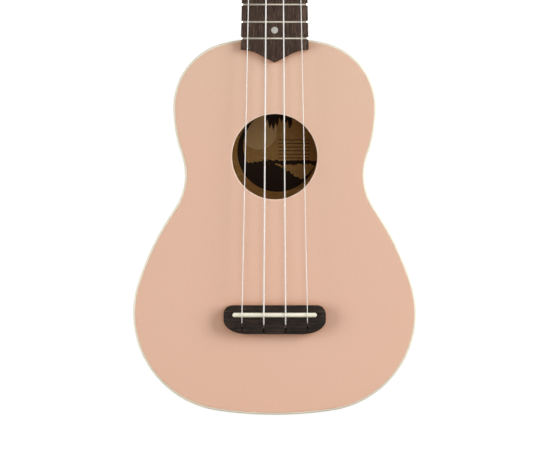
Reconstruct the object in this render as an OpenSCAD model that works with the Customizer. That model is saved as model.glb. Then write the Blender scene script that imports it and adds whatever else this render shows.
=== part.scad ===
// Soprano ukulele, lying on its back: the strings run along +Y and the soundboard faces +Z.
// The origin is on the back's outer face, on the centre line, halfway along the body.

/* [Scale and neck] */
// Vibrating string length, nut to saddle
scale_length = 346; // [330:1:360]
// Width of the neck and fingerboard at the nut
nut_width = 35; // [33:0.5:38]
// Width of the fingerboard at the twelfth fret
board_width_12 = 42.2; // [40:0.2:46]
// Thickness of the fingerboard
board_t = 4; // [3:0.5:5]
// Depth of the neck shaft under the fingerboard
neck_depth = 12.5; // [12:0.5:15]
// Distance from the twelfth fret to the top edge of the body
fret12_inset = 1; // [0:0.5:3]

/* [Body outline] */
// Radius of the tail arc
tail_r = 243; // [200:1:300]
// Turn of the tail arc, in degrees
tail_a = 8.6; // [7:0.1:10]
// Radius of the lower bout
lower_r = 61.6; // [58:0.1:64]
// Turn of the lower bout, in degrees
lower_a = 99.3; // [97:0.1:101]
// Radius of the flank between the lower bout and the waist
flank_r = 180; // [150:1:200]
// Turn of the flank, in degrees
flank_a = 16.5; // [15:0.1:18]
// Radius of the waist, which bends inwards
waist_r = 38; // [34:0.5:42]
// Turn of the waist, in degrees
waist_a = 53.9; // [52:0.1:56]
// Radius of the stretch above the waist
chest_r = 89; // [80:1:100]
// Turn of the stretch above the waist, in degrees
chest_a = 19.2; // [17:0.1:21]
// Radius of the upper bout
upper_r = 41.7; // [38:0.1:44]
// Turn of the upper bout, in degrees
upper_a = 77.6; // [75:0.1:80]

/* [Body shell] */
// Overall depth of the body
body_depth = 60; // [54:1:70]
// Thickness of the soundboard, the back and the bindings
plate_t = 2.2; // [1.8:0.1:2.6]
// Thickness of the bent sides
side_t = 2; // [1.6:0.1:2.4]
// Width of the binding seen from the front
binding_w = 1.3; // [1:0.1:1.6]
// Radius of the sound hole
hole_r = 26.7; // [22:0.1:28]
// Centre of the sound hole, along the body
hole_y = 43.4; // [38:0.2:48]

/* [Bridge] */
// Width of the bridge across the strings
bridge_w = 64; // [58:1:70]
// Length of the bridge along the strings
bridge_l = 18; // [15:0.5:20]
// Height of the bridge above the soundboard
bridge_h = 6.5; // [5.5:0.5:8]
// Spacing of the strings at the saddle
saddle_pitch = 13.63; // [13:0.05:14.2]
// Length of the saddle
saddle_l = 52.8; // [50:0.2:55]
// Thickness of the saddle
saddle_t = 2.9; // [2.6:0.1:3.4]

/* [Strings] */
// Spacing of the strings at the nut
nut_pitch = 8.87; // [8:0.05:9.5]
// Height of the strings over the fingerboard at the nut
nut_action = 1.3; // [1:0.1:1.8]
// Height of the strings over the twelfth fret's crown
fret12_action = 2.6; // [2:0.1:3.2]
// Turns of string left on each tuner post
winding_turns = 2; // [1:1:2]

/* [Headstock and tuners] */
// Backward tilt of the headstock, in degrees
head_tilt = 12; // [9:0.5:14]
// Length of the headstock from the back of the nut
head_l = 106; // [102:1:112]
// Half the width of the headstock at the tuners
head_half_w = 25.5; // [25:0.5:28]
// Thickness of the headstock
head_t = 11.5; // [11:0.5:13]
// Distance of the first pair of tuner posts from the nut
post_y1 = 34; // [33:1:38]
// Distance between the two pairs of tuner posts
post_gap = 44; // [40:1:48]
// Distance of the tuner posts from the centre line
post_x = 15.5; // [15:0.5:17]

/* [Hidden] */
$fn = 48;
STRINGS = ["g", "c", "e", "a"];
STRING_D = [0.6, 0.9, 0.78, 0.5];
TUNER_PARTS = ["string", "winding", "tuner_plate", "worm_shaft", "button", "post", "gear", "gear_screw"];
BODY_PARTS = [
    "top_plate", "back_plate", "side_left", "side_right", "top_binding", "back_binding",
    "top_linings", "back_linings", "head_block", "tail_block", "top_braces", "back_braces",
    "bridge_patch", "label", "neck", "heel", "heel_cap", "headstock", "neck_dowel",
    "fingerboard", "frets", "position_dots", "side_dots", "nut", "saddle", "bridge",
    "tuner_bushings", "tuner_screws"
];

// Finish colours
PINK = [0.88, 0.71, 0.61];
CREAM = [0.95, 0.92, 0.78];
RAW_WOOD = [0.72, 0.56, 0.38];
NECK_WOOD = [0.52, 0.33, 0.2];
WALNUT = [0.27, 0.21, 0.18];
DARK_WALNUT = [0.18, 0.15, 0.13];
NICKEL = [0.75, 0.74, 0.72];
PEARL = [0.93, 0.92, 0.88];
BRASS = [0.72, 0.6, 0.36];
NYLON = [0.93, 0.92, 0.9];

// ---- Body outline: tangent arcs from the tail round to the neck, one side, mirrored for the other ----

// [radius, turn] of each arc; a negative turn bends inwards
ARCS = [[tail_r, tail_a], [lower_r, lower_a], [flank_r, flank_a],
        [waist_r, -waist_a], [chest_r, chest_a], [upper_r, upper_a]];

function toward(h) = [sin(h), -cos(h)];
// Each run is [centre, radius, heading at its start, turn]
function runs_from(i, p, h) =
    i < len(ARCS)
    ? let (r = ARCS[i][0], a = ARCS[i][1], s = sign(a), c = p - s * r * toward(h))
      concat([[c, r, h, a]], runs_from(i + 1, c + s * r * toward(h + a), h + a))
    // the shoulder arc's centre is on the centre line, which sets its radius
    : let (r = p.x / sin(h)) [[p - r * toward(h), r, h, 180 - h]];
RUNS = runs_from(0, [0, 0], 0);
SHOULDER = RUNS[len(RUNS) - 1];
body_l = SHOULDER[0].y + SHOULDER[1];
y_tail = -body_l / 2;
y_top = body_l / 2;

ARC_STEP = 4.5;
// A point on a run, turned by a from its start and inset by d
function on_run(run, a, d) =
    let (s = sign(run[3])) run[0] + (run[1] - s * d) * s * toward(run[2] + a) + [0, y_tail];
function steps(run) = ceil(max(abs(run[3]), 12) / ARC_STEP);
function half(d) = concat(
    [for (run = RUNS) for (k = [0:steps(run) - 1]) on_run(run, run[3] * k / steps(run), d)],
    [[0, y_top - d]]);
function reversed(p) = [for (i = [len(p) - 1:-1:0]) p[i]];
function mirrored(p) = [for (q = p) [-q.x, q.y]];
function inner_points(p) = [for (i = [1:len(p) - 2]) p[i]];
function but_last(p) = [for (i = [0:len(p) - 2]) p[i]];
function full(d) = concat(half(d), reversed(mirrored(inner_points(half(d)))));
function half_width(y, d) = lookup(y, [for (p = half(d)) [p.y, p.x]]);

// ---- Heights and places along the neck ----

z_top = body_depth;
z_board = z_top + board_t;
y_12 = y_top - fret12_inset;
y_nut = y_12 + scale_length / 2;
y_saddle = y_nut - scale_length;
nut_t = 5;
y_head = y_nut + nut_t;
fret_h = 0.8;
fret_w = 1.5;
gap = 0.04;

function fret_y(n) = y_nut - scale_length * (1 - pow(2, -n / 12));
function board_half(y) =
    (nut_width + (board_width_12 - nut_width) * (y_nut - y) / (scale_length / 2)) / 2;
function dot_y(n) = (fret_y(n) + fret_y(n - 1)) / 2;

// ---- General modules ----

// A closed solid through rings of equal length; the first and last rings are capped
module loft(rings) {
    n = len(rings[0]);
    m = len(rings);
    sides = [for (j = [0:m - 2]) for (i = [0:n - 1])
        let (k = (i + 1) % n) each [
            [j * n + i, (j + 1) * n + i, (j + 1) * n + k],
            [j * n + i, (j + 1) * n + k, j * n + k]]];
    near = [for (i = [1:n - 2]) [0, i, i + 1]];
    far = [for (i = [1:n - 2]) [(m - 1) * n, (m - 1) * n + i + 1, (m - 1) * n + i]];
    polyhedron(points = [for (r = rings) each r], faces = concat(near, far, sides));
}

function unit(v) = v / norm(v);
function tangent(p, i) = unit(p[min(i + 1, len(p) - 1)] - p[max(i - 1, 0)]);
// Each point's sideways direction, carried along the path from u without twisting
function carried(p, i, u) =
    i == len(p) ? [] :
    let (t = tangent(p, i), w = unit(u - (u * t) * t)) concat([w], carried(p, i + 1, w));

// A round tube along path; radii holds one radius a point, and u isn't along its first stretch
module tube(path, radii, u, sides = 8) {
    side = carried(path, 0, u);
    loft([for (i = [0:len(path) - 1])
        let (v = cross(tangent(path, i), side[i]))
        [for (k = [0:sides - 1])
            path[i] + radii[i] * (cos(360 * k / sides) * side[i] + sin(360 * k / sides) * v)]]);
}

// A closed ring across the neck at y, from its right half's [x, z] points, top to bottom
function ring_at(side, y) = concat(
    [for (p = side) [p.x, y, p.y]],
    [for (p = reversed(but_last(side))) [-p.x, y, p.y]]);

// Points on an arc from angle a0 to a1, and a rectangle with corners rounded by r
function arc(c, r, a0, a1, n) = [for (k = [0:n]) let (a = a0 + (a1 - a0) * k / n) c + r * [cos(a), sin(a)]];
function rounded(x0, y0, x1, y1, r) = concat(
    arc([x1 - r, y1 - r], r, 0, 90, 6), arc([x0 + r, y1 - r], r, 90, 180, 6),
    arc([x0 + r, y0 + r], r, 180, 270, 6), arc([x1 - r, y0 + r], r, 270, 360, 6));

module slab(points, z0, z1) {
    translate([0, 0, z0]) linear_extrude(z1 - z0) polygon(points);
}

module bar_y(x, y0, y1, z, r) {
    translate([x, y0, z]) rotate([-90, 0, 0]) cylinder(h = y1 - y0, r = r);
}

module head_frame() {
    translate([0, y_head, z_top]) rotate([-head_tilt, 0, 0]) children();
}

// ---- Body shell ----

module top_plate() {
    color(PINK) difference() {
        slab(full(binding_w), z_top - plate_t, z_top);
        translate([0, hole_y, z_top - plate_t - 1]) cylinder(h = plate_t + 2, r = hole_r);
    }
}

module back_plate() {
    color(PINK) slab(full(binding_w), 0, plate_t);
}

module rib() {
    slab(concat(half(0), reversed(half(side_t))), plate_t, z_top - plate_t);
}

module side_right() {
    color(PINK) difference() {
        rib();
        dowel_space();
    }
}

module side_left() {
    color(PINK) difference() {
        mirror([1, 0, 0]) rib();
        dowel_space();
    }
}

module binding(z0) {
    color(CREAM) translate([0, 0, z0]) linear_extrude(plate_t) difference() {
        polygon(full(0));
        polygon(full(binding_w));
    }
}

// ---- Inside the body ----

lining_w = 5;
lining_h = 8;
kerf_w = 1;
kerf_depth = 3.6;
block_w = 46;
head_block_l = 20;
tail_block_l = 22;

// The lining's inner edge, with a kerf at each step
function kerfed(run) =
    let (d = side_t + lining_w, n = steps(run), g = kerf_w / 2 / (run[1] - sign(run[3]) * d) * 180 / PI)
    [for (k = [0:n - 1]) let (a = run[3] * (k + 0.5) / n, s = sign(run[3]) * g) each [
        on_run(run, a - s, d), on_run(run, a - s, d - kerf_depth),
        on_run(run, a + s, d - kerf_depth), on_run(run, a + s, d)]];

module lining(z0) {
    translate([0, 0, z0]) linear_extrude(lining_h) difference() {
        polygon(concat(half(side_t), reversed([for (run = RUNS) each kerfed(run)])));
        square([block_w, 4 * body_l], center = true);
    }
}

module linings(z0) {
    color(RAW_WOOD) {
        lining(z0);
        mirror([1, 0, 0]) lining(z0);
    }
}

module block(y0, length) {
    translate([0, 0, plate_t]) linear_extrude(z_top - 2 * plate_t) intersection() {
        polygon(full(side_t));
        translate([-block_w / 2, y0]) square([block_w, length]);
    }
}

module head_block() {
    color(RAW_WOOD) difference() {
        block(y_top - side_t - head_block_l, head_block_l + side_t);
        dowel_space();
    }
}

module tail_block() {
    color(RAW_WOOD) block(y_tail, tail_block_l + side_t);
}

brace_w = 6;
brace_h = 8;
brace_end_h = 2.5;
brace_taper = 20;
BRACE_GAP = 0.3;

// A bar across the body under the top (up = -1) or on the back (up = 1), with its ends cut down
module brace(y, z, up) {
    reach = min(half_width(y - brace_w / 2, side_t + lining_w),
                half_width(y + brace_w / 2, side_t + lining_w)) - BRACE_GAP;
    translate([0, y + brace_w / 2, z]) rotate([90, 0, 0]) linear_extrude(brace_w) polygon([
        [-reach, 0], [reach, 0], [reach, up * brace_end_h], [reach - brace_taper, up * brace_h],
        [brace_taper - reach, up * brace_h], [-reach, up * brace_end_h]]);
}

module top_braces() {
    color(RAW_WOOD) for (y = [hole_y + hole_r + 12, hole_y - hole_r - 12]) brace(y, z_top - plate_t, -1);
}

module back_braces() {
    color(RAW_WOOD) for (y = [90, 2, -62]) brace(y, plate_t, 1);
}

patch_t = 1.8;
module bridge_patch() {
    color(RAW_WOOD) translate([-36, bridge_y0 - 4, z_top - plate_t - patch_t])
        cube([72, bridge_l + 8, patch_t]);
}

label_r = 25.7;
label_t = 0.25;
label_x = 1.8;
label_y = 47.6;
module label() {
    color([0.62, 0.5, 0.3]) translate([label_x, label_y, plate_t]) cylinder(h = label_t, r = label_r);
}

// ---- Neck: one carved form, cut level into the shaft, the heel and its cap ----

heel_l = 50;
heel_depth = 62;
heel_cap_z = 6;
heel_cap_t = 2;
z_glue = z_top - neck_depth - 1.5;
NECK_RIM = 14;
NECK_STATIONS = 16;

// How much of the heel is left at y: 1 at the body, 0 where the shaft begins
function heel_share(y) = let (u = max(0, min(1, (y - y_top) / heel_l))) pow(1 - pow(u, 1.6), 3);
// Half width at depth share t, from a D-shaped shaft to a deep heel that narrows downwards
function neck_half(t, w, heel) = w * pow(max(0, 1 - pow(t, 2.3 + 2 * heel)), 0.5) * (1 - 0.45 * heel * t);
function neck_ring(y) =
    let (h = heel_share(y), w = board_half(y), d = neck_depth + (heel_depth - neck_depth) * h,
         side = [for (k = [0:NECK_RIM]) let (t = sin(90 * k / NECK_RIM)) [neck_half(t, w, h), z_top - d * t]])
    ring_at(side, y);

module carved_neck() {
    first = y_top - 6;
    last = y_head + 4;
    near_heel = [for (k = [0:NECK_STATIONS]) first + (heel_l + 6) * k / NECK_STATIONS];
    loft([for (y = concat(near_heel, [y_nut - 60, last])) neck_ring(y)]);
}

// The carved form between two heights, fitted round the body
module neck_layer(z0, z1) {
    difference() {
        intersection() {
            carved_neck();
            translate([-40, y_top - 20, z0]) cube([80, 220, z1 - z0]);
        }
        slab(full(0), -1, z_top + 1);
        head_frame() translate([-40, 0, -60]) cube([80, 40, 80]);
        dowel_space();
    }
}

module neck() {
    color(NECK_WOOD) neck_layer(z_glue, z_top + 1);
}

module heel() {
    color(NECK_WOOD) neck_layer(heel_cap_z + heel_cap_t, z_glue);
}

module heel_cap() {
    color(CREAM) neck_layer(heel_cap_z, heel_cap_z + heel_cap_t);
}

dowel_r = 4;
dowel_z = 33;
dowel_reach = 13;
module dowel_space() {
    bar_y(0, y_top - dowel_reach, y_top + dowel_reach, dowel_z, dowel_r);
}

module neck_dowel() {
    color(RAW_WOOD) dowel_space();
}

// ---- Headstock, in its own tilted frame: +Y towards its tip, its face at z = 0 ----

flare_l = 20;
throat_l = 24;
throat_widening = 26;
throat_deepening = 6;
tip_drop = 5;
CORNER_R = 7;
THROAT_STEPS = 8;

// Flare from the neck's width to the tuners' width, as half a cosine wave
function head_half(y) =
    let (u = max(0, min(1, y / flare_l)), start = board_half(y_head))
    start + (head_half_w - start) * (1 - cos(180 * u)) / 2;

// Right side, round the top corner and along the shallow arched tip
function head_edge() =
    let (flare = [for (k = [0:10]) [head_half(flare_l * k / 10), flare_l * k / 10]],
         cx = head_half_w - CORNER_R, cy = head_l - tip_drop - CORNER_R,
         corner = arc([cx, cy], CORNER_R, 0, 72, 6),
         start = corner[len(corner) - 1],
         crown = [for (k = [1:6])
             [start.x * (1 - k / 6), start.y + (head_l - start.y) * sin(15 * k)]])
    concat(flare, corner, crown);

// The neck's section at the nut, growing wider and squarer than the plate by the throat's end
function throat_ring(y) =
    let (s = y / throat_l, w = board_half(y_head) + throat_widening * s,
         d = neck_depth + 0.3 + throat_deepening * s, e = 2.3 + 14 * s * s)
    ring_at([for (k = [0:NECK_RIM])
        let (t = sin(90 * k / NECK_RIM)) [w * pow(max(0, 1 - pow(t, e)), 0.5), -d * t]], y);

module head_blank() {
    edge = head_edge();
    slab(concat(edge, reversed(mirrored(but_last(edge)))), -head_t, 0);
}

module headstock() {
    color(NECK_WOOD) head_frame() difference() {
        head_blank();
        // the carved throat runs from the neck's section out to the full plate
        difference() {
            translate([-60, -1, -head_t - 1]) cube([120, throat_l + 0.9, head_t + 1]);
            loft([for (k = [0:THROAT_STEPS]) throat_ring(throat_l * k / THROAT_STEPS)]);
        }
        at_posts() {
            translate([0, 0, -head_t - 1]) cylinder(h = head_t + 2, r = post_r + 0.4);
            translate([0, 0, -bushing_l]) cylinder(h = bushing_l + 1, r = bushing_r);
        }
        at_posts() screw_places() translate([0, 0, -head_t - 1]) cylinder(h = screw_l + 1, r = screw_r);
    }
}

// ---- Fingerboard and frets ----

FRETS = 12;
shoulder_l = 7;
tip_l = 15;
ogee_r = 23.3;
ogee_a = 26.8;
slot_w = 0.6;
slot_depth = 1.6;
dot_r = 2.1;
side_dot_r = 0.9;
dot_depth = 0.8;
DOT_FRETS = [5, 7, 10, 12];

// Right edge: from the nut down to the shoulder, then the hollow curve to the pointed tip
function board_edge() =
    let (ys = y_12 - shoulder_l, hw = board_half(ys), yt = y_12 - tip_l)
    concat([[board_half(y_nut), y_nut], [hw, ys]],
           inner_points(concat(arc([hw, ys - ogee_r], ogee_r, 90, 90 + ogee_a, 6), [[0, 0]])),
           [[0.9, yt + 0.35], [0, yt]]);

module fingerboard() {
    edge = board_edge();
    color(WALNUT) difference() {
        slab(concat(reversed(edge), mirrored(but_last(edge))), z_top, z_board);
        for (n = [1:FRETS]) translate([-30, fret_y(n) - slot_w / 2, z_board - slot_depth])
            cube([60, slot_w, slot_depth + 1]);
        position_dot_space();
        side_dot_space();
    }
}

fret_bevel = 1.05;
fret_end_h = 0.22;
// A fret: a rounded crown on a tang, with both ends filed down at a slant
module fret(n) {
    hw = board_half(fret_y(n));
    translate([0, fret_y(n), z_board]) intersection() {
        rotate([90, 0, 90]) translate([0, 0, -30]) linear_extrude(60) polygon(concat(
            [for (a = [0:20:180]) [fret_w / 2 * cos(a), fret_h * sin(a)]],
            [[-slot_w / 2, 0], [-slot_w / 2, -slot_depth], [slot_w / 2, -slot_depth], [slot_w / 2, 0]]));
        translate([0, 5, 0]) rotate([90, 0, 0]) linear_extrude(10) polygon([
            [-hw, -5], [hw, -5], [hw, fret_end_h], [hw - fret_bevel, fret_h],
            [fret_bevel - hw, fret_h], [-hw, fret_end_h]]);
    }
}

module frets() {
    color(NICKEL) for (n = [1:FRETS]) fret(n);
}

module position_dot_space() {
    for (n = DOT_FRETS) translate([0, dot_y(n), z_board - dot_depth]) cylinder(h = dot_depth, r = dot_r);
}

module position_dots() {
    color(PEARL) position_dot_space();
}

module side_dot_space() {
    for (n = DOT_FRETS) translate([-board_half(dot_y(n)), dot_y(n), z_top + board_t / 2])
        rotate([0, 90, 0]) cylinder(h = dot_depth, r = side_dot_r);
}

module side_dots() {
    color(PEARL) side_dot_space();
}

// ---- Strings: where each one runs ----

function nut_x(i) = (i - 1.5) * nut_pitch;
function saddle_x(i) = (i - 1.5) * saddle_pitch;
z_nut = z_board + nut_action;
// the string's underside rises from the nut so that it clears the twelfth fret by its action
saddle_rise = 2 * (fret_h + fret12_action - nut_action);
z_crest = z_nut + saddle_rise;
hole_back = [5.2, 6.2, 6.1, 5.2];
channel_z = z_top + 2.4;
channel_r = 1.6;
knot_r = 1.25;
NUT_DROP = 0.5;

function post_side(i) = i < 2 ? -1 : 1;
function post_pos(i) = [post_side(i) * post_x, i == 0 || i == 3 ? post_y1 : post_y1 + post_gap];
function to_row(p) = [p.x,
    y_head + p.y * cos(head_tilt) + p.z * sin(head_tilt),
    z_top - p.y * sin(head_tilt) + p.z * cos(head_tilt)];
function wrap_r(i) = waist_post_r + STRING_D[i] / 2 + wrap_gap;
winding_z = 4.6;
wrap_gap = 0.15;
wrap_a = 150;

// Where the string leaves the nut, and a place round its post at angle a from the inner side
function nut_exit(i) = [nut_x(i), y_head, z_nut - NUT_DROP + STRING_D[i] / 2 + gap];
function round_post(i, a, r) = [-post_side(i) * r * cos(a), r * sin(a)];
function string_wrap(i) = [for (a = [0:15:wrap_a])
    let (q = post_pos(i) + round_post(i, a, wrap_r(i))) to_row([q.x, q.y, winding_z])];

// From the knot in the bridge, over the saddle and nut, and nearly half a turn round the post's foot
module string(i) {
    r = STRING_D[i] / 2;
    x = saddle_x(i);
    yh = y_saddle - hole_back[i];
    lift = r + gap;
    knot = [[x, yh - 2.0, channel_z], [x, yh - 1.6, channel_z], [x, yh - 1.0, channel_z],
            [x, yh - 0.4, channel_z + 0.1]];
    over_bridge = [
        [x, yh - 0.2, channel_z + 0.9], [x, yh, z_top + bridge_h - 0.7],
        [x, yh + 0.6, z_top + bridge_h + lift], [x, y_saddle - 1.1, z_crest - 0.32 + lift],
        [x, y_saddle - 0.5, z_crest - 0.06 + lift], [x, y_saddle + 0.2, z_crest + lift]];
    over_nut = [[nut_x(i), y_nut, z_nut + lift], nut_exit(i)];
    path = concat(knot, over_bridge, over_nut, string_wrap(i));
    knot_radii = [0.8, knot_r, knot_r, 0.8];
    radii = concat(knot_radii, [for (k = [len(knot):len(path) - 1]) r]);
    color(NYLON) tube(path, radii, [1, 0, 0]);
}

COIL_STEPS = 14;
tail_reach = 1.8;
// The turns above the string's own, the way through the post's hole and the short cut end
module winding(i) {
    r = STRING_D[i] / 2;
    pitch = STRING_D[i] + gap;
    start = winding_z + STRING_D[i] + 2 * gap;
    top = start + winding_turns * pitch;
    outer = post_r + r + gap;
    coil = [for (k = [0:winding_turns * COIL_STEPS])
        concat(round_post(i, 360 * k / COIL_STEPS, wrap_r(i)), start + pitch * k / COIL_STEPS)];
    rise = [for (u = [0.25:0.25:1])
        concat(round_post(i, 84 * u, wrap_r(i) + (outer - wrap_r(i)) * u), top + (post_hole_z - top) * u)];
    through = [[0, post_r - 0.2, post_hole_z], [0, 0, post_hole_z], [0, -post_r - tail_reach, post_hole_z]];
    path = concat(coil, rise, through);
    color(NYLON) at_post(i) tube(path, [for (p = path) r], [0, 0, 1], 6);
}

// ---- Nut, bridge and saddle ----

nut_h = 6.4;
// Sections seen from the side, as [along the neck, up]: the nut, and a slot that falls to the headstock
NUT_SECTION = [[0, 0], [nut_t, 0], [nut_t, nut_h - 1.2], [nut_t - 1, nut_h - 0.4],
               [nut_t - 2.2, nut_h], [0, nut_h]];
NUT_SLOT = [[-1, 0], [0, 0], [nut_t + 1, -NUT_DROP * (nut_t + 1) / nut_t], [nut_t + 1, 4], [-1, 4]];

module nut() {
    color(CREAM) difference() {
        translate([-nut_width / 2, y_nut, z_top]) rotate([90, 0, 90])
            linear_extrude(nut_width) polygon(NUT_SECTION);
        for (i = [0:3]) translate([nut_x(i) - STRING_D[i] / 2 - gap, y_nut, z_nut]) rotate([90, 0, 90])
            linear_extrude(STRING_D[i] + 2 * gap) polygon(NUT_SLOT);
    }
}

behind_saddle = 12;
bridge_y0 = y_saddle - behind_saddle;
front_corner = 5.5;
// Half an ellipse's width and height at each rear corner
rear_corner = [14.5, 8.8];
saddle_seat = 3;
// Each slit is just wide enough for its string
function slit_w(i) = STRING_D[i] + gap;

function bridge_outline() =
    let (front = bridge_y0 + bridge_l - front_corner,
         rear = [bridge_w / 2 - rear_corner.x, bridge_y0 + rear_corner.y],
         right = concat([for (p = arc([0, 0], 1, -90, 0, 10))
                            rear + [rear_corner.x * p.x, rear_corner.y * p.y]],
                        arc([bridge_w / 2 - front_corner, front], front_corner, 0, 90, 6)))
    concat(right, reversed(mirrored(right)));

module saddle_blank(length, thickness, z0, z1) {
    reach = (length - thickness) / 2;
    for (x = [-reach, reach]) translate([x, y_saddle, z0]) cylinder(h = z1 - z0, r = thickness / 2);
    translate([-reach, y_saddle - thickness / 2, z0]) cube([2 * reach, thickness, z1 - z0]);
}

module bridge() {
    color(DARK_WALNUT) difference() {
        slab(bridge_outline(), z_top, z_top + bridge_h);
        saddle_blank(saddle_l + 0.8, saddle_t + 0.1, z_top + bridge_h - saddle_seat, z_top + bridge_h + 1);
        for (i = [0:3]) {
            yh = y_saddle - hole_back[i];
            bar_y(saddle_x(i), bridge_y0 - 1, yh + 0.9, channel_z, channel_r);
            translate([saddle_x(i) - slit_w(i) / 2, bridge_y0 - 1, channel_z])
                cube([slit_w(i), yh + 0.9 - bridge_y0 + 1, bridge_h]);
        }
    }
}

module saddle() {
    r = saddle_t / 2;
    color(CREAM) intersection() {
        saddle_blank(saddle_l, saddle_t, z_top + bridge_h - saddle_seat, z_crest);
        union() {
            translate([-40, y_saddle, z_crest - r]) rotate([0, 90, 0]) cylinder(h = 80, r = r);
            translate([-40, y_saddle - 5, z_top]) cube([80, 10, z_crest - r - z_top]);
        }
    }
}

// ---- Tuners, in the headstock's frame, each about its own post ----

post_r = 2.75;
waist_post_r = 2.45;
post_top = 13;
post_hole_z = 9.2;
post_hole_r = 0.75;
bushing_r = 4;
bushing_l = 4;
bushing_h = 1.8;
bushing_rim = 4.9;
running_gap = 0.05;
plate_h = 0.8;
plate_w = 15;
plate_y0 = -17;
plate_y1 = 13;
collar_h = 1.3;
gear_w = 3;
screw_r = 1;
screw_l = 7;
screw_head_r = 2.1;
SCREW_Y = [9.9, -13.7];

// Worm and gear, worked out from the axial pitch; the knob turns gear_teeth times for one turn of the post
gear_teeth = 14;
worm_pitch = 2;
gear_pitch_r = gear_teeth * worm_pitch / (2 * PI);
worm_pitch_r = 2.2;
addendum = 0.5;
dedendum = 0.65;
TOOTH_ROOT = 0.62;
TOOTH_TIP = 0.28;
THREAD_TIP = 0.2;
drive_w = 3;
gear_screw_r = 0.9;
worm_y = -(gear_pitch_r + worm_pitch_r);
z_plate = -head_t - plate_h;
z_gear = z_plate - running_gap - collar_h;
z_worm = z_gear - gear_w / 2;
lead_angle = atan(worm_pitch / (2 * PI * worm_pitch_r));
ear_x = 6.3;
ear_t = 1.2;
ear_r = 2.7;
journal_r = 1.25;
button_x0 = head_half_w - post_x + 2;
button_r = 7;
button_t = 7;
button_rim = 2.4;
button_middle = 7.6;
shaft_end = button_x0 + 8;

module at_post(i) {
    head_frame() translate([post_pos(i).x, post_pos(i).y, 0]) children();
}

// The places of all four posts, for use inside the headstock's frame
module at_posts() {
    for (i = [0:3]) translate([post_pos(i).x, post_pos(i).y, 0]) children();
}

// One tuner's place with +X outwards
module outward(i) {
    at_post(i) mirror([post_side(i) < 0 ? 1 : 0, 0, 0]) children();
}

module screw_places() {
    for (y = SCREW_Y) translate([0, y, 0]) children();
}

module bushing() {
    rotate_extrude() polygon([
        [post_r + running_gap, -bushing_l], [bushing_r, -bushing_l], [bushing_r, 0], [bushing_rim, 0],
        [bushing_rim, bushing_h * 0.5], [bushing_rim - 0.9, bushing_h], [post_r + running_gap, bushing_h]]);
}

module tuner_bushings() {
    color(NICKEL) head_frame() at_posts() bushing();
}

module ear() {
    difference() {
        union() {
            translate([-ear_t / 2, worm_y - ear_r, z_worm])
                cube([ear_t, 2 * ear_r, z_plate - z_worm + plate_h / 2]);
            translate([-ear_t / 2, worm_y, z_worm]) rotate([0, 90, 0]) cylinder(h = ear_t, r = ear_r);
        }
        translate([-ear_t, worm_y, z_worm]) rotate([0, 90, 0])
            cylinder(h = 2 * ear_t, r = journal_r + running_gap);
    }
}

module tuner_plate(i) {
    color(NICKEL) outward(i) {
        difference() {
            slab(rounded(-plate_w / 2, plate_y0, plate_w / 2, plate_y1, 3.5), z_plate, z_plate + plate_h);
            translate([0, 0, z_plate - 1]) cylinder(h = plate_h + 2, r = post_r + running_gap);
            screw_places() translate([0, 0, z_plate - 1]) cylinder(h = plate_h + 2, r = screw_r);
        }
        for (s = [-1, 1]) translate([s * ear_x, 0, 0]) ear();
    }
}

module tuner_screws() {
    color(NICKEL) head_frame() at_posts() screw_places() {
        translate([0, 0, z_plate]) cylinder(h = plate_h + screw_l - 1, r = screw_r);
        difference() {
            translate([0, 0, z_plate - 1.2]) cylinder(h = 1.2, r1 = 1.5, r2 = screw_head_r);
            for (a = [0, 90]) rotate([0, 0, a]) translate([-1.1, -0.2, z_plate - 1.7]) cube([2.2, 0.4, 1]);
        }
    }
}

module post(i) {
    color(NICKEL) at_post(i) difference() {
        union() {
            rotate_extrude() polygon([
                [0, z_gear], [post_r + 0.7, z_gear], [post_r + 0.7, z_gear + collar_h],
                [post_r, z_gear + collar_h], [post_r, 3.4], [waist_post_r, 3.8],
                [waist_post_r, 8.1], [post_r, 8.5],
                [post_r, post_top - 0.8], [post_r - 0.8, post_top], [0, post_top]]);
            translate([-drive_w / 2, -drive_w / 2, z_gear - gear_w]) cube([drive_w, drive_w, gear_w + 0.5]);
        }
        translate([0, -5, post_hole_z]) rotate([-90, 0, 0]) cylinder(h = 10, r = post_hole_r);
        translate([0, 0, z_gear - gear_w - 1]) cylinder(h = 6, r = gear_screw_r);
    }
}

// Straight-flanked teeth, each turned to the worm's lead angle; a gap faces the worm at rest
module gear(i) {
    root = gear_pitch_r - dedendum;
    tip = gear_pitch_r + addendum;
    hand = post_side(i);
    color(BRASS) at_post(i) translate([0, 0, z_gear - gear_w]) difference() {
        intersection() {
            union() {
                cylinder(h = gear_w, r = root);
                for (k = [0:gear_teeth - 1]) rotate([0, 0, -90 + 360 * (k + 0.5) / gear_teeth])
                    translate([root - 0.4, 0, gear_w / 2]) rotate([-hand * lead_angle, 0, 0])
                        translate([0, 0, -gear_w]) linear_extrude(2 * gear_w)
                            polygon([[0, -TOOTH_ROOT], [tip - root + 0.4, -TOOTH_TIP],
                                     [tip - root + 0.4, TOOTH_TIP], [0, TOOTH_ROOT]]);
            }
            cylinder(h = gear_w, r = tip);
        }
        translate([-drive_w / 2, -drive_w / 2, -1]) cube([drive_w, drive_w, gear_w + 2]);
    }
}

module gear_screw(i) {
    color(NICKEL) at_post(i) {
        translate([0, 0, z_gear - gear_w]) cylinder(h = 5, r = gear_screw_r);
        difference() {
            translate([0, 0, z_gear - gear_w - 1.4]) cylinder(h = 1.4, r1 = 2, r2 = 2.4);
            translate([-3, -0.3, z_gear - gear_w - 1.9]) cube([6, 0.6, 1]);
        }
    }
}

THREAD_STEPS = 12;
THREAD_TURNS = 4;
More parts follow.
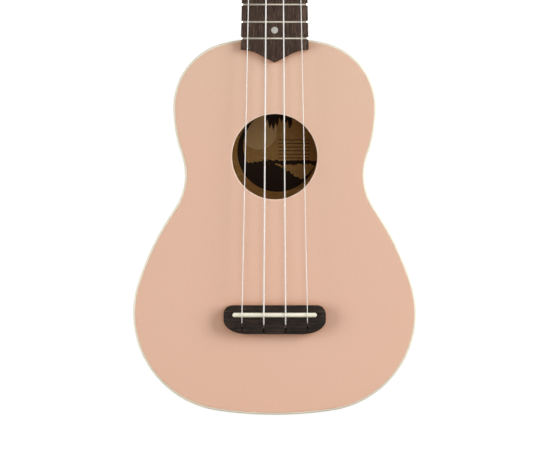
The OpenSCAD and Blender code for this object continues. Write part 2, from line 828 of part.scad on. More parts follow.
// A trapezoid thread along +X, with a crest facing the gear at x = 0
module worm_thread() {
    crest = worm_pitch_r + addendum;
    root = worm_pitch_r - dedendum;
    n = THREAD_STEPS * THREAD_TURNS;
    loft([for (k = [0:n])
        let (a = 360 * (k - n / 2) / THREAD_STEPS, x = worm_pitch * (k - n / 2) / THREAD_STEPS,
             top = k == 0 || k == n ? root + 0.05 : crest)
        [for (q = [[TOOTH_ROOT, root - 0.3], [THREAD_TIP, top], [-THREAD_TIP, top], [-TOOTH_ROOT, root - 0.3]])
            [x + q[0], q[1] * cos(a), q[1] * sin(a)]]]);
}

module worm_shaft(i) {
    core = worm_pitch_r - dedendum;
    half_gap = ear_x - ear_t / 2 - running_gap;
    color(NICKEL) outward(i) translate([0, worm_y, z_worm]) {
        rotate([0, 90, 0]) {
            translate([0, 0, -half_gap]) cylinder(h = 2 * half_gap, r = core, $fn = 12);
            translate([0, 0, -ear_x - ear_t]) cylinder(h = shaft_end + ear_x + ear_t, r = journal_r);
            translate([0, 0, ear_x + ear_t / 2 + running_gap]) cylinder(h = 1.2, r = 2.2);
            translate([0, 0, -ear_x - ear_t / 2 - running_gap - 1.0]) cylinder(h = 1.0, r = 1.8);
        }
        worm_thread();
    }
}

// The button's half outline, as [distance from the shaft, along the shaft]
BUTTON_SECTION = concat(
    [[0, 0], [2.6, 0], [2.9, 2.2]],
    [for (a = [-60:15:75])
        let (hollow = a < 0 ? 1.4 * pow(sin(a), 2) : 0)
        [button_r - button_rim + button_rim * cos(a) - hollow, button_middle + 4.6 * sin(a)]],
    [[0, button_middle + 4.8]]);

module button(i) {
    color(PEARL) outward(i) translate([button_x0, worm_y, z_worm]) difference() {
        intersection() {
            rotate([0, 90, 0]) rotate_extrude() polygon(BUTTON_SECTION);
            translate([-1, -10, -button_t / 2]) cube([20, 20, button_t]);
        }
        translate([-1, 0, 0]) rotate([0, 90, 0]) cylinder(h = shaft_end - button_x0 + 1, r = journal_r);
    }
}

// ---- What each node shows ----

top_plate();
back_plate();
side_left();
side_right();
binding(z_top - plate_t);  // top_binding
binding(0);  // back_binding
linings(z_top - plate_t - lining_h);  // top_linings
linings(plate_t);  // back_linings
head_block();
tail_block();
top_braces();
back_braces();
bridge_patch();
label();
neck();
heel();
heel_cap();
headstock();
neck_dowel();
fingerboard();
frets();
position_dots();
side_dots();
nut();
saddle();
bridge();
tuner_bushings();
tuner_screws();
for (i = [0:3]) {
    string(i);
    winding(i);
    tuner_plate(i);
    worm_shaft(i);
    button(i);
    post(i);
    gear(i);
    gear_screw(i);
}
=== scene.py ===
"""The looks of a soprano ukulele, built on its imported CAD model, in metres in the same frame."""

import math

import bmesh
import bpy
import numpy as np
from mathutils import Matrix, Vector

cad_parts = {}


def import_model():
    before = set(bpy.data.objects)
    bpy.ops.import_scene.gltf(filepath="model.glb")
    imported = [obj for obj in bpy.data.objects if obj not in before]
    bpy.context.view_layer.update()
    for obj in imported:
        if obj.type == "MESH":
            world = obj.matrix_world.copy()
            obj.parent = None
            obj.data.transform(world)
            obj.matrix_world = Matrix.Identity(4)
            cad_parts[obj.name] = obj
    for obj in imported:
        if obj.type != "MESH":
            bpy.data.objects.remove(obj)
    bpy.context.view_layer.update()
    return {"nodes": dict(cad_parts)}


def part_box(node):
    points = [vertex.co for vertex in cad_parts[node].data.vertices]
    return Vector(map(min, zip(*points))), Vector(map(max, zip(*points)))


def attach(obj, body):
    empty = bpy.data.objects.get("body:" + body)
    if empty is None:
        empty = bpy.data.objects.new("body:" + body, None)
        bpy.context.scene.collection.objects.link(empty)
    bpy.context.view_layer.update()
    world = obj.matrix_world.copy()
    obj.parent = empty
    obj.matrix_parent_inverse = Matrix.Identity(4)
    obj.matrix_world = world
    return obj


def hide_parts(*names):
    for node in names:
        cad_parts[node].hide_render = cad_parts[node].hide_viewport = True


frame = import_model()

MM = 0.001
STRINGS = "gcea"
WHITE = (1.0, 1.0, 1.0, 1.0)

BINDING_ROUND = 1.2 * MM  # radius of the binding's outer corner
EDGE_FALL = 0.12 * MM  # how far the soundboard's edge and the binding slope away
EDGE_RUN = 1.4 * MM  # width of that slope on the soundboard
HOLE_ROUND = 0.7 * MM  # radius of the sound hole's lip
SEAM = 0.06 * MM  # gap between glued pieces
PAINT_GAP = 0.02 * MM  # how far the sides' outer faces lie inside the outline
SIDE_THICKNESS = 2.0 * MM
OUTLINE_POINTS = 480

# Each CAD node's lowest and highest corner
low = {name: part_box(name)[0] for name in frame["nodes"]}
high = {name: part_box(name)[1] for name in frame["nodes"]}


def sound_hole():
    """The hole's centre and radius, from the corners of the soundboard that lie well inside it."""
    reach = high["top_plate"].x / 3
    corners = [v.co for v in frame["nodes"]["top_plate"].data.vertices]
    rim = np.array([(c.x, c.y) for c in corners if abs(c.x) < reach and 0 < c.y < 3 * reach])
    centre = (rim.min(0) + rim.max(0)) / 2
    return centre, np.linalg.norm(rim - centre, axis=1).mean()


hole_centre, hole_r = sound_hole()

# ---- Materials ----


def srgb(*levels):
    """A colour given as sRGB levels from 0 to 255, in the linear values that shaders take."""
    shares = [level / 255 for level in levels]
    return (*[c / 12.92 if c <= 0.04045 else ((c + 0.055) / 1.055) ** 2.4 for c in shares], 1.0)


def scaled(color, factor):
    """A colour made brighter or darker, up to full brightness."""
    return (*[min(1.0, c * factor) for c in color[:3]], 1.0)


class Nodes:
    """A node tree. Its methods add nodes and return the output that the next one takes."""

    def __init__(self, tree):
        self.tree = tree

    def feed(self, socket, value):
        """Links an output to a socket, or sets the socket to a plain value."""
        if isinstance(value, bpy.types.NodeSocket):
            self.tree.links.new(value, socket)
        else:
            socket.default_value = value

    def node(self, kind, inputs=(), **settings):
        made = self.tree.nodes.new("ShaderNode" + kind)
        for key, value in settings.items():
            setattr(made, key, value)
        for key, value in dict(inputs).items():
            self.feed(made.inputs[key], value)
        return made

    def math(self, operation, a, b=0.0, clamp=False):
        made = self.node("Math", {0: a, 1: b}, operation=operation, use_clamp=clamp)
        return made.outputs[0]

    def ramp(self, factor, *stops):
        made = self.node("ValToRGB", {"Fac": factor})
        elements = made.color_ramp.elements
        while len(elements) < len(stops):
            elements.new(0.5)
        for element, (position, color) in zip(elements, stops):
            element.position = position
            element.color = color
        return made.outputs["Color"]

    def span(self, value, low_in, high_in, low_out=0.0, high_out=1.0, kind="SMOOTHSTEP"):
        """The value carried from one range to another, and held at the second range's ends."""
        inputs = {"Value": value, "From Min": low_in, "From Max": high_in,
                  "To Min": low_out, "To Max": high_out}
        return self.node("MapRange", inputs, interpolation_type=kind).outputs["Result"]

    def mix(self, factor, a, b, blend="MIX"):
        made = self.node("Mix", data_type="RGBA", blend_type=blend)
        for key, value in zip((0, 6, 7), (factor, a, b)):
            self.feed(made.inputs[key], value)
        return made.outputs[2]


class Surface(Nodes):
    """A node material on the Principled shader."""

    def __init__(self, name, **sockets):
        self.material = bpy.data.materials.new(name)
        self.material.use_nodes = True
        super().__init__(self.material.node_tree)
        self.shader = self.tree.nodes["Principled BSDF"]
        self.set(**sockets)
        self.place = self.node("TexCoord").outputs["Object"]

    def set(self, **sockets):
        """Feeds the shader's own sockets; an underscore in a name stands for a space."""
        for socket, value in sockets.items():
            self.feed(self.shader.inputs[socket.replace("_", " ")], value)

    def noise(self, scale, detail=3.0, roughness=0.5, distortion=0.0, place=None):
        """Noise with features 1 / scale long in each axis; scale is one number or three."""
        scales = scale if isinstance(scale, tuple) else (scale,) * 3
        mapping = self.node("Mapping", {"Vector": place or self.place, "Scale": scales})
        inputs = {"Vector": mapping.outputs[0], "Scale": 1.0, "Detail": detail,
                  "Roughness": roughness, "Distortion": distortion}
        return self.node("TexNoise", inputs).outputs["Fac"]

    def bump(self, height, distance, strength=1.0):
        made = self.node("Bump", {"Height": height, "Distance": distance, "Strength": strength})
        self.set(Normal=made.outputs["Normal"])

    def moved(self, offset):
        """The place moved by the same offset in each axis, for a second noise unlike the first."""
        made = self.node("VectorMath", {0: self.place, 1: (offset,) * 3}, operation="ADD")
        return made.outputs[0]

    def axes(self, origin=(0.0, 0.0, 0.0)):
        """The X, Y and Z of the place, counted from an origin."""
        made = self.node("VectorMath", {0: self.place, 1: origin}, operation="SUBTRACT")
        return self.node("SeparateXYZ", {0: made.outputs[0]}).outputs


def pink_lacquer():
    s = Surface("pink_lacquer", Specular_IOR_Level=0.28, Coat_Weight=0.08, Coat_Roughness=0.3)
    drift = s.span(s.axes()["Y"], low["back_plate"].y, high["back_plate"].y, kind="LINEAR")
    cloud = s.span(s.noise(14.0), 0.35, 0.65, -0.12, 0.12)
    tone = s.math("ADD", drift, cloud, clamp=True)
    from_hole = s.node("VectorMath", {0: s.place, 1: (0.0, hole_centre[1], high["top_plate"].z)},
                       operation="DISTANCE").outputs["Value"]
    # Painted highlight: lip marks a band at the sound hole's rounded edge, and the paint there is
    # mixed towards a lighter pink to stand in for the light that the rounding catches.
    lip = s.span(from_hole, hole_r + 1.5 * HOLE_ROUND, hole_r + 0.5 * HOLE_ROUND)
    paint = s.ramp(tone, (0.0, srgb(233, 187, 162)), (1.0, srgb(229, 190, 165)))
    color = s.mix(lip, paint, srgb(250, 220, 198))
    speckle = s.span(s.noise(1100.0, detail=1.0), 0.3, 0.7, 0.972, 1.028, "LINEAR")
    grey = s.node("CombineColor", {channel: speckle for channel in ("Red", "Green", "Blue")})
    color = s.mix(1.0, color, grey.outputs[0], "MULTIPLY")
    # Painted shade: where ambient occlusion finds nearby surfaces, as round the bridge and
    # fingerboard, the paint is mixed towards a darker, warmer pink.
    corners = s.node("AmbientOcclusion", {"Distance": 9 * MM}, samples=8).outputs["AO"]
    s.set(Base_Color=s.mix(s.span(corners, 0.95, 0.35), color, srgb(224, 166, 130)))
    s.set(Roughness=s.span(s.noise(70.0), 0.3, 0.7, 0.4, 0.47))
    s.bump(s.noise(900.0, detail=2.0), 0.02 * MM, 0.25)
    return s.material


def cream_plastic(name, color, roughness=0.3):
    s = Surface(name, Specular_IOR_Level=0.35)
    cloud = s.noise((40.0, 9.0, 40.0))
    s.set(Base_Color=s.ramp(cloud, (0.3, color), (0.7, scaled(color, 1.07))))
    s.set(Roughness=s.span(s.noise(260.0), 0.3, 0.7, roughness - 0.06, roughness + 0.06))
    s.bump(s.noise(1600.0), 0.01 * MM, 0.2)
    return s.material


def grained_wood(name, along, dark, mid, pale, roughness, pore_depth=0.06, fine=900.0, coat=0.0,
                 streaks=0.0, streak_run=0.14):
    """Straight-grained wood; along is 0, 1 or 2, the axis that its grain follows.

    fine sets how narrow the fibres are, streaks how strong the pale flecks are, and streak_run
    how short they are along the grain."""
    s = Surface(name, Coat_Weight=coat, Coat_Roughness=0.3, Specular_IOR_Level=0.22)

    def stretched(across, length):
        return tuple(length if axis == along else across for axis in range(3))

    bands = s.noise(stretched(fine * 0.3, fine * 0.008), detail=4.0, distortion=0.3)
    fibres = s.noise(stretched(fine, fine * 0.02), detail=3.0, roughness=0.6)
    figure = s.math("ADD", s.math("MULTIPLY", bands, 0.55), s.math("MULTIPLY", fibres, 0.45))
    color = s.ramp(figure, (0.34, dark), (0.5, mid), (0.66, pale))
    pores = s.span(s.noise(stretched(fine * 2.2, fine * 0.24), detail=1.0), 0.57, 0.67)
    dashes = s.noise(stretched(fine * 1.7, fine * streak_run), detail=2.0, place=s.moved(0.31))
    flecks = s.math("MULTIPLY", s.span(dashes, 0.52, 0.66), streaks)
    color = s.mix(flecks, color, scaled(pale, 2.2))
    color = s.mix(s.math("MULTIPLY", pores, 0.35 + streaks), color, scaled(dark, 0.5))
    s.set(Base_Color=color)
    s.set(Roughness=s.span(fibres, 0.3, 0.7, roughness - 0.05, roughness + 0.08))
    s.bump(s.math("SUBTRACT", s.math("MULTIPLY", fibres, 0.5), pores), pore_depth * MM, 0.6)
    return s.material


def plated_metal(name, color, roughness=0.2, wear=0.1):
    s = Surface(name, Metallic=1.0)
    worn = s.noise(320.0, detail=4.0)
    s.set(Base_Color=s.ramp(worn, (0.35, scaled(color, 1 - 1.4 * wear)), (0.65, color)))
    s.set(Roughness=s.span(worn, 0.3, 0.7, roughness - 0.5 * wear, roughness + wear))
    s.bump(s.noise((5200.0, 240.0, 5200.0), detail=2.0), 0.006 * MM, 3 * wear)
    return s.material


def pearl(name, shade=1.0):
    s = Surface(name, Coat_Weight=0.5, Coat_Roughness=0.08)
    layers = s.noise((260.0, 190.0, 260.0), detail=4.0, distortion=1.6)
    stops = ((0.3, (216, 214, 208)), (0.5, (236, 232, 223)), (0.7, (249, 247, 242)))
    shaded = [(stop, srgb(*(shade * level for level in levels))) for stop, levels in stops]
    s.set(Base_Color=s.ramp(layers, *shaded))
    s.set(Roughness=s.span(layers, 0.3, 0.7, 0.2, 0.34))
    s.bump(layers, 0.01 * MM, 0.2)
    return s.material


def nylon():
    s = Surface("nylon", IOR=1.5, Subsurface_Weight=0.3, Subsurface_Radius=(1.0, 1.0, 1.0),
                Subsurface_Scale=0.2 * MM, Transmission_Weight=0.08, Specular_IOR_Level=0.7)
    s.set(Base_Color=s.ramp(s.noise((300.0, 40.0, 300.0)), (0.3, srgb(250, 244, 238)),
                            (0.7, srgb(253, 248, 242))))
    s.set(Roughness=s.span(s.noise(500.0), 0.3, 0.7, 0.18, 0.28))
    return s.material


def printed_label():
    """A plain landscape in a dark rim: a pale disc, a far shore, a hill by a lake and ruled lines.

    It is drawn in x and y that run from -1 to 1 across the label."""
    s = Surface("printed_label", Specular_IOR_Level=0.2)
    centre = (low["label"] + high["label"]) / 2
    radius = (high["label"].x - low["label"].x) / 2
    place = s.axes(tuple(centre))
    x = s.math("DIVIDE", place["X"], radius)
    y = s.math("DIVIDE", place["Y"], radius)
    ragged = s.span(s.noise(450.0, detail=2.0), 0.3, 0.7, -0.025, 0.025)

    def both(a, b):
        return s.math("MULTIPLY", a, b)

    def between(value, first, last):
        return both(s.math("GREATER_THAN", value, first), s.math("LESS_THAN", value, last))

    def far(cx, cy):
        dx = s.math("SUBTRACT", x, cx)
        dy = s.math("SUBTRACT", y, cy)
        return s.math("SQRT", s.math("ADD", both(dx, dx), both(dy, dy)))

    def wave(pace, swell):
        return both(s.math("SINE", both(x, pace)), swell)

    hill = s.math("ADD", s.span(x, -0.2, 0.75, -0.27, -0.72), ragged)
    shore = s.math("ADD", s.math("ADD", wave(7.0, 0.01), ragged), 0.27)
    fronds = s.math("ADD", both(s.math("PINGPONG", x, 0.05), 3.4), 0.62)
    fringe = s.math("ADD", fronds, wave(13.0, 0.1))
    rules = both(s.math("GREATER_THAN", s.math("SINE", both(y, 70.0)), 0.55),
                 both(between(x, 0.02, 0.8), between(y, -0.2, 0.36)))
    dark = srgb(60, 46, 38)
    paper = (0.3, srgb(201, 161, 100)), (0.7, srgb(216, 176, 114))
    color = s.ramp(s.noise(420.0, detail=5.0), *paper)
    pale_disc = s.math("LESS_THAN", far(-0.47, 0.5), 0.45)
    shore_line = s.math("LESS_THAN", s.math("ABSOLUTE", s.math("ADD", y, shore)), 0.05)
    far_shore = both(shore_line, s.math("GREATER_THAN", x, -0.5))
    leaves = both(s.math("GREATER_THAN", y, fringe), between(x, -0.3, 0.36))
    rim = s.math("GREATER_THAN", far(0.1, 0.12), 0.95)
    marks = (
        (pale_disc, srgb(242, 210, 156)),
        (both(rules, 0.7), dark),
        (far_shore, dark),
        (s.math("LESS_THAN", y, hill), dark),
        (leaves, dark),
        (rim, dark),
    )
    for amount, ink in marks:
        color = s.mix(amount, color, ink)
    s.set(Base_Color=color, Roughness=s.span(s.noise(900.0), 0.3, 0.7, 0.7, 0.85))
    s.bump(s.noise(1500.0, detail=4.0), 0.02 * MM, 0.3)
    return s.material


PINK = pink_lacquer()
CREAM = cream_plastic("cream_binding", srgb(236, 228, 206))
IVORY = cream_plastic("ivory_plastic", srgb(245, 240, 219), 0.25)
BOARD_WOOD = grained_wood("board_walnut", 1, srgb(44, 30, 22), srgb(65, 48, 38), srgb(84, 65, 53),
                          0.55, streaks=0.4)
BRIDGE_WOOD = grained_wood("bridge_walnut", 0, srgb(19, 12, 8), srgb(33, 23, 15), srgb(50, 37, 28),
                           0.55, streaks=0.6, streak_run=0.07)
NECK_WOOD = grained_wood("neck_nato", 1, srgb(112, 66, 42), srgb(142, 90, 60), srgb(166, 112, 78),
                         0.4, pore_depth=0.03, fine=600.0, coat=0.2)
INNER_WOOD = grained_wood("inner_wood", 0, srgb(205, 159, 92), srgb(221, 175, 105),
                          srgb(232, 188, 122), 0.7, pore_depth=0.05, fine=500.0)
STRIP_WOOD = grained_wood("strip_wood", 1, srgb(164, 128, 88), srgb(190, 154, 112),
                          srgb(208, 176, 134), 0.7, pore_depth=0.05, fine=500.0)
NICKEL = plated_metal("nickel", (0.72, 0.70, 0.66, 1.0))
FRET_WIRE = plated_metal("fret_wire", (0.77, 0.70, 0.58, 1.0), 0.24, 0.02)
BRASS = plated_metal("brass", (0.66, 0.49, 0.22, 1.0), 0.25)
PEARL = pearl("pearl")
DOT_PEARL = pearl("dot_pearl", 0.8)
NYLON = nylon()
LABEL = printed_label()

# ---- Mesh building ----


def place_mesh(name, mesh, material, body, stands_for, raw=None):
    """Makes the mesh a finished piece that rides on a body and stands for CAD nodes.

    raw says which of its faces are left as bare wood inside the body."""
    mesh.materials.clear()
    mesh.materials.append(material)
    if raw:
        mesh.materials.append(INNER_WOOD)
        for face in mesh.polygons:
            face.material_index = int(raw(face))
    piece = bpy.data.objects.new(name, mesh)
    bpy.context.scene.collection.objects.link(piece)
    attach(piece, body)
    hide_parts(*stands_for)


def smooth(mesh, angle=35.0):
    mesh.shade_smooth()
    mesh.set_sharp_from_angle(angle=math.radians(angle))


def solid(vertices, faces, angle=35.0):
    """A mesh from points and faces, with doubled points joined and its faces turned outwards."""
    mesh = bpy.data.meshes.new("solid")
    mesh.from_pydata([tuple(v) for v in vertices], [], faces)
    work = bmesh.new()
    work.from_mesh(mesh)
    bmesh.ops.remove_doubles(work, verts=work.verts, dist=1e-7)
    bmesh.ops.recalc_face_normals(work, faces=work.faces)
    work.to_mesh(mesh)
    work.free()
    smooth(mesh, angle)
    return mesh


def loft(rings, joined=False, around=True):
    """Points and faces through rings of equal length.

    joined closes the last ring to the first, and around closes each ring on itself."""
    rings = np.asarray(rings, float)
    rows, columns = rings.shape[:2]
    index = np.arange(rows * columns).reshape(rows, columns)
    faces = []
    for j in range(rows if joined else rows - 1):
        for i in range(columns if around else columns - 1):
            a, b = index[j], index[(j + 1) % rows]
            k = (i + 1) % columns
            faces.append((int(a[i]), int(b[i]), int(b[k]), int(a[k])))
    if not joined:
        faces += [tuple(int(v) for v in index[0][::-1]), tuple(int(v) for v in index[-1])]
    return rings.reshape(-1, 3), faces


def refined(node, bevel=0.0, segments=2, angle=35.0):
    """A copy of a CAD node's mesh with flat faces joined and its sharp edges rounded by bevel."""
    work = bmesh.new()
    work.from_mesh(frame["nodes"][node].data)
    bmesh.ops.remove_doubles(work, verts=work.verts, dist=1e-6)
    bmesh.ops.dissolve_limit(work, angle_limit=math.radians(0.6), verts=work.verts,
                             edges=work.edges)
    if bevel:
        sharp = [e for e in work.edges
                 if e.is_manifold and e.calc_face_angle(0.0) > math.radians(angle)]
        bmesh.ops.bevel(work, geom=sharp, offset=bevel, segments=segments, profile=0.5,
                        affect="EDGES", clamp_overlap=True)
    bmesh.ops.recalc_face_normals(work, faces=work.faces)
    mesh = bpy.data.meshes.new(node)
    work.to_mesh(mesh)
    work.free()
    smooth(mesh, angle)
    return mesh


def refine(node, material, slot, bevel=0.0, body="root", **options):
    """A CAD node's own shape as a finished piece, with its sharp edges rounded."""
    mesh = refined(node, bevel, **options)
    place_mesh(node + "_piece", mesh, material, body, [node])


def rings_along(node, sides):
    """The centres and radii of the rings that a tube's CAD mesh is made of, from end to end."""
    work = bmesh.new()
    work.from_mesh(frame["nodes"][node].data)
    bmesh.ops.remove_doubles(work, verts=work.verts, dist=1e-6)
    bmesh.ops.dissolve_limit(work, angle_limit=math.radians(0.3), verts=work.verts,
                             edges=work.edges)
    ring = next(f for f in work.faces if len(f.verts) == sides).verts[:]
    seen, centres, radii = set(ring), [], []
    while ring:
        centre = sum((v.co for v in ring), Vector()) / len(ring)
        centres.append(centre)
        radii.append(sum((v.co - centre).length for v in ring) / len(ring))
        ring = list({e.other_vert(v) for v in ring for e in v.link_edges} - seen)
        seen.update(ring)
    work.free()
    return np.array([tuple(c) for c in centres]), np.array(radii)


def eased(path, radii, longest=4 * MM, cuts=3):
    """The path and radii with short stretches curved through their points.

    Stretches over the longest length stay straight; each short one is cut into cuts."""
    steps = np.diff(path, axis=0)
    lengths = np.linalg.norm(steps, axis=1)
    ways = steps / lengths[:, None]
    headings = np.vstack([ways[:1], ways[1:] + ways[:-1], ways[-1:]])
    for k in range(1, len(path) - 1):
        before, after = lengths[k - 1] < longest, lengths[k] < longest
        if before != after:
            headings[k] = ways[k] if before else ways[k - 1]
    headings /= np.linalg.norm(headings, axis=1)[:, None]
    points, sizes = [path[0]], [radii[0]]
    for k, length in enumerate(lengths):
        for u in ([j / cuts for j in range(1, cuts + 1)] if length < longest else [1.0]):
            ends = (2 * u**3 - 3 * u**2 + 1) * path[k] + (3 * u**2 - 2 * u**3) * path[k + 1]
            pulls = (u**3 - 2 * u**2 + u) * headings[k] + (u**3 - u**2) * headings[k + 1]
            points.append(ends + length * pulls)
            sizes.append((1 - u) * radii[k] + u * radii[k + 1])
    return np.array(points), np.array(sizes)


def tube(path, radii, sides=12):
    """Rings round a path, carried along it without twisting."""
    ways = np.gradient(path, axis=0)
    ways /= np.linalg.norm(ways, axis=1)[:, None]
    across = np.cross(ways[0], (0.3, 0.2, 0.9))
    turns = np.linspace(0, 2 * math.pi, sides, endpoint=False)
    rings = []
    for point, way, radius in zip(path, ways, radii):
        across = across - across.dot(way) * way
        across /= np.linalg.norm(across)
        up = np.cross(way, across)
        circle = np.outer(np.cos(turns), across) + np.outer(np.sin(turns), up)
        rings.append(point + radius * circle)
    return rings


def strand(node, sides, material, body):
    """A round strand in place of the CAD's faceted one."""
    rings = tube(*eased(*rings_along(node, sides)))
    place_mesh(node + "_strand", solid(*loft(rings), angle=60.0), material, body, [node])


# ---- The body's outline, from the back plate's edge ----


def plate_corners(node):
    """The corners of a flat plate's edge, anticlockwise from the tail."""
    vertices = frame["nodes"][node].data.vertices
    corners = {(round(v.co.x, 7), round(v.co.y, 7)) for v in vertices}
    return sorted(corners, key=lambda c: (math.atan2(c[1], c[0]) + math.pi / 2) % (2 * math.pi))


def smooth_loop(corners, count):
    """count points evenly spaced along the closed cubic spline through the corners."""
    p = np.array(corners)
    n = len(p)
    h = np.linalg.norm(np.roll(p, -1, 0) - p, axis=1)
    slope = (np.roll(p, -1, 0) - p) / h[:, None]
    system = np.zeros((n, n))
    i = np.arange(n)
    system[i, i - 1] = np.roll(h, 1)
    system[i, i] = 2 * (h + np.roll(h, 1))
    system[i, (i + 1) % n] = h
    bend = np.linalg.solve(system, 6 * (slope - np.roll(slope, 1, 0)))
    start = np.concatenate([[0], np.cumsum(h)])
    at = np.linspace(0, start[-1], count, endpoint=False)
    i = np.searchsorted(start, at, side="right") - 1
    u, hi, after = (at - start[i])[:, None], h[i][:, None], bend[(i + 1) % n]
    start_slope = slope[i] - hi * (2 * bend[i] + after) / 6
    return p[i] + u * start_slope + u**2 * bend[i] / 2 + u**3 * (after - bend[i]) / (6 * hi)


plate_edge = smooth_loop(plate_corners("back_plate"), OUTLINE_POINTS)
along_edge = np.roll(plate_edge, -1, 0) - np.roll(plate_edge, 1, 0)
outwards = np.column_stack([along_edge[:, 1], -along_edge[:, 0]])
outwards /= np.linalg.norm(outwards, axis=1)[:, None]
binding_w = high["top_binding"].x - high["top_plate"].x


def outline(inset):
    """The body's outline, moved inwards from its outer face by the inset."""
    return plate_edge + (binding_w - inset) * outwards


def level(points, z):
    return np.column_stack([points, np.full(len(points), z)])


def quarter(steps=5):
    """(run in, rise) along a quarter round of radius 1, from the wall to the top."""
    angles = [math.pi / 2 * k / steps for k in range(steps + 1)]
    return [(1 - math.cos(a), math.sin(a)) for a in angles]


# ---- Body shell ----


def soundboard():
    """The soundboard, with a rounded lip at its hole and a painted edge that slopes away."""
    top, under = high["top_plate"].z, low["top_plate"].z
    edge = outline(binding_w + SEAM / 2)
    bearing = np.arctan2(edge[:, 1] - hole_centre[1], edge[:, 0] - hole_centre[0])
    spoke = np.column_stack([np.cos(bearing), np.sin(bearing)])

    def between(share, rim):
        return (1 - share) * (hole_centre + rim * spoke) + share * edge

    rings = [level(between(0, hole_r), under)]
    for run, rise in quarter():
        rings.append(level(between(0, hole_r + HOLE_ROUND * run), top - HOLE_ROUND * (1 - rise)))
    rings += [level(between(share, hole_r + HOLE_ROUND), top) for share in (0.1, 0.3, 0.55, 0.8)]
    for run in (1.4 * MM, 1.0 * MM, 0.6 * MM, 0.25 * MM):
        rings.append(level(outline(binding_w + run), top - EDGE_FALL * (1 - run / EDGE_RUN)**2))
    rings += [level(edge, top - EDGE_FALL - SEAM), level(edge, under)]
    rings += [level(between(share, hole_r), under) for share in (0.7, 0.35)]

    def bare(face):
        """The underside and the hole's wall; the joint at the waist, which is hidden, comes too."""
        upright = abs(face.normal.z) < 0.05
        return face.normal.z < -0.5 or (upright and face.center.xy.length < hole_r * 2.9)

    place_mesh("soundboard", solid(*loft(rings, joined=True)), PINK, "root",
               ["top_plate"], raw=bare)


def back():
    """The flat back, with its inner face left bare."""
    top, under = high["back_plate"].z, low["back_plate"].z
    edge = outline(binding_w + SEAM / 2)
    shares = (0.001, 0.25, 0.5, 0.75, 0.995)
    rings = [level(edge * share, top) for share in shares]
    rings += [level(edge, top), level(edge, under + SEAM)]
    rings += [level(edge * share, under) for share in reversed(shares)]
    place_mesh("back", solid(*loft(rings)), PINK, "root", ["back_plate"],
               raw=lambda face: face.normal.z > 0.5)


def binding(node, outer_z, inner_z):
    """A strip round the body with its outer corner rounded; outer_z is the face that shows."""
    up = math.copysign(1.0, outer_z - inner_z)
    section = [(0.0, inner_z)]
    for run, rise in quarter():
        drop = EDGE_FALL + BINDING_ROUND * (1 - rise)
        section.append((0.9 * binding_w * run, outer_z - up * drop))
    section += [(binding_w, outer_z - up * EDGE_FALL), (binding_w, inner_z)]
    rings = [level(outline(inset), z) for inset, z in section]
    strip = solid(*loft(rings, joined=True))
    place_mesh(node + "_strip", strip, CREAM, "root", [node])


def inner_face(face, points):
    """Whether a side's face looks into the body."""
    x, y = face.center.xy
    nearest = min(points, key=lambda i: (x - plate_edge[i, 0])**2 + (y - plate_edge[i, 1])**2)
    return face.normal.x * outwards[nearest, 0] + face.normal.y * outwards[nearest, 1] < 0


def side(node, points):
    """Half of the bent side, along the outline from the tail to the neck."""
    top, under = high[node].z - SEAM / 2, low[node].z + SEAM / 2
    section = [(SEAM, under), (PAINT_GAP, under + SEAM), (PAINT_GAP, (top + under) / 2),
               (PAINT_GAP, top - SEAM), (SEAM, top), (SIDE_THICKNESS, top), (SIDE_THICKNESS, under)]
    lines = [level(outline(inset)[points], z) for inset, z in section]
    rings = np.transpose(np.array(lines), (1, 0, 2))
    place_mesh(node + "_shell", solid(*loft(rings)), PINK, "root", [node],
               raw=lambda face: abs(face.normal.z) < 0.5 and inner_face(face, points))


soundboard()
back()
binding("top_binding", high["top_binding"].z, low["top_binding"].z)
binding("back_binding", low["back_binding"].z, high["back_binding"].z)
half = OUTLINE_POINTS // 2
side("side_right", list(range(0, half + 1)))
side("side_left", list(range(half, OUTLINE_POINTS)) + [0])

# ---- Inside the body ----

for node in ("top_linings", "back_linings"):
    refine(node, STRIP_WOOD, "raw_wood", 0.2 * MM, segments=1)
for node in ("head_block", "tail_block", "top_braces", "back_braces", "bridge_patch", "neck_dowel"):
    refine(node, INNER_WOOD, "raw_wood", 0.4 * MM)
refine("label", LABEL, "label_paper")

# ---- Neck, headstock and fingerboard ----

refine("neck", NECK_WOOD, "neck_wood", angle=40.0)
refine("heel", NECK_WOOD, "neck_wood", angle=40.0)
refine("heel_cap", CREAM, "binding", 0.15 * MM, angle=40.0)
refine("headstock", NECK_WOOD, "neck_wood", 0.9 * MM, segments=3, angle=40.0)
refine("fingerboard", BOARD_WOOD, "fingerboard_wood", 0.25 * MM)
refine("frets", FRET_WIRE, "nickel", 0.12 * MM)
refine("nut", IVORY, "ivory_plastic", 0.3 * MM)
for node in ("position_dots", "side_dots"):
    refine(node, DOT_PEARL, "pearl")

# ---- Bridge and saddle ----

refine("bridge", BRIDGE_WOOD, "bridge_wood", 0.3 * MM)
refine("saddle", IVORY, "ivory_plastic", 0.25 * MM)

# ---- Strings and tuners ----

for letter in STRINGS:
    strand("string_" + letter, 8, NYLON, "root")
    strand("winding_" + letter, 6, NYLON, "capstan_" + letter)
    refine("tuner_plate_" + letter, NICKEL, "nickel", 0.15 * MM)
    refine("worm_shaft_" + letter, NICKEL, "nickel", body="knob_" + letter)
    refine("button_" + letter, PEARL, "pearl", 0.5 * MM, body="knob_" + letter)
    refine("post_" + letter, NICKEL, "nickel", body="capstan_" + letter)
    refine("gear_" + letter, BRASS, "brass", body="capstan_" + letter)
    refine("gear_screw_" + letter, NICKEL, "nickel", 0.1 * MM, body="capstan_" + letter)
refine("tuner_bushings", NICKEL, "nickel")
refine("tuner_screws", NICKEL, "nickel", 0.1 * MM)

# ---- Stage, light and camera ----

VIEW_WIDTH = 344.6 * MM  # width of the view at the soundboard's height
CAMERA_HEIGHT = 2.6  # above the soundboard
VIEW_CENTRE = (0.2 * MM, 0.6 * MM)

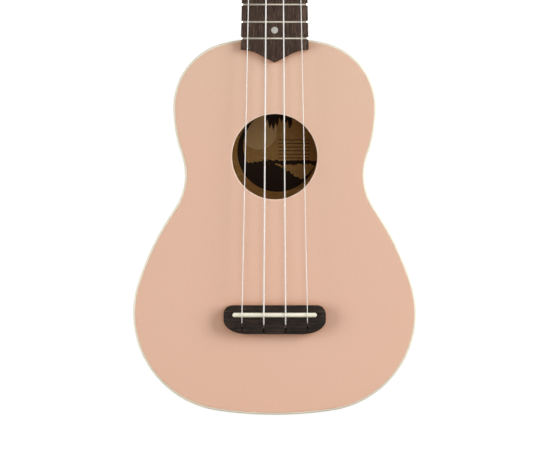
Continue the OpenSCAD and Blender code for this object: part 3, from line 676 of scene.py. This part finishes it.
FLOOR_HALF = 3.0
FLOOR_Z = -0.3 * MM
FLOOR_GREY = (0.35, 0.35, 0.35, 1.0)
FLOOR_GLOW = 0.08  # the floor's own light as the part receives it
FLOOR_SEEN = 0.82  # the same as the camera and reflections see it

COOL_LIGHT = (0.875, 0.94, 1.0)
NEUTRAL_LIGHT = (1.0, 0.98, 0.94)
SIDE_BOX = (1.1, 0.75)

WARM_FILL = (1.0, 0.7, 0.45, 1.0)
FILL_STRENGTH = 0.15  # light from all round, as the part receives it
REFLECTED_SHARE = 0.3  # how much of the white surroundings reflections see


def floor():
    """A plain pale floor just under the back."""
    corners = [(x * FLOOR_HALF, y * FLOOR_HALF, FLOOR_Z)
               for x, y in ((-1, -1), (1, -1), (1, 1), (-1, 1))]
    mesh = solid(corners, [(0, 1, 2, 3)])
    s = Surface("floor", Base_Color=FLOOR_GREY, Roughness=0.8, Emission_Color=WHITE)
    rays = s.node("LightPath").outputs
    seen = s.math("MAXIMUM", rays["Is Camera Ray"], rays["Is Glossy Ray"])
    s.set(Emission_Strength=s.span(seen, 0.0, 1.0, FLOOR_GLOW, FLOOR_SEEN, "LINEAR"))
    mesh.materials.append(s.material)
    made = bpy.data.objects.new("floor", mesh)
    bpy.context.scene.collection.objects.link(made)


def softbox(name, place, size, power, color):
    """A rectangular area light that faces the origin."""
    light = bpy.data.lights.new(name, "AREA")
    light.shape = "RECTANGLE"
    light.size, light.size_y = size
    light.energy = power
    light.color = color
    lamp = bpy.data.objects.new(name, light)
    lamp.location = place
    lamp.rotation_euler = (-Vector(place)).to_track_quat("-Z", "Y").to_euler()
    bpy.context.scene.collection.objects.link(lamp)


def world():
    """White surroundings for the camera, dimmer in reflections, with a weak warm fill."""
    made = bpy.data.worlds.new("studio")
    made.use_nodes = True
    n = Nodes(made.node_tree)
    rays = n.node("LightPath").outputs
    share = n.node("Math", {0: rays["Is Glossy Ray"], 1: REFLECTED_SHARE,
                            2: rays["Is Camera Ray"]}, operation="MULTIPLY_ADD").outputs[0]
    background = n.tree.nodes["Background"].inputs
    n.feed(background["Strength"], n.span(share, 0.0, 1.0, FILL_STRENGTH, 1.0, "LINEAR"))
    n.feed(background["Color"], n.ramp(share, (0.0, WARM_FILL), (REFLECTED_SHARE, WHITE)))
    bpy.context.scene.world = made


def camera():
    """Straight above the soundboard, as the photo was taken."""
    data = bpy.data.cameras.new("camera")
    data.sensor_width = 36.0
    data.lens = data.sensor_width * CAMERA_HEIGHT / VIEW_WIDTH
    data.clip_end = 20.0
    made = bpy.data.objects.new("camera", data)
    made.location = (*VIEW_CENTRE, high["top_plate"].z + CAMERA_HEIGHT)
    bpy.context.scene.collection.objects.link(made)
    bpy.context.scene.camera = made


floor()
softbox("left_softbox", (-1.25, 0.02, 0.78), SIDE_BOX, 14.2, COOL_LIGHT)
softbox("right_softbox", (1.2, 0.35, 0.79), SIDE_BOX, 20.6, COOL_LIGHT)
softbox("overhead_softbox", (0.3, 0.05, 2.4), (1.9, 0.8), 8.2, NEUTRAL_LIGHT)
world()
camera()
bpy.context.scene.view_settings.view_transform = "Standard"
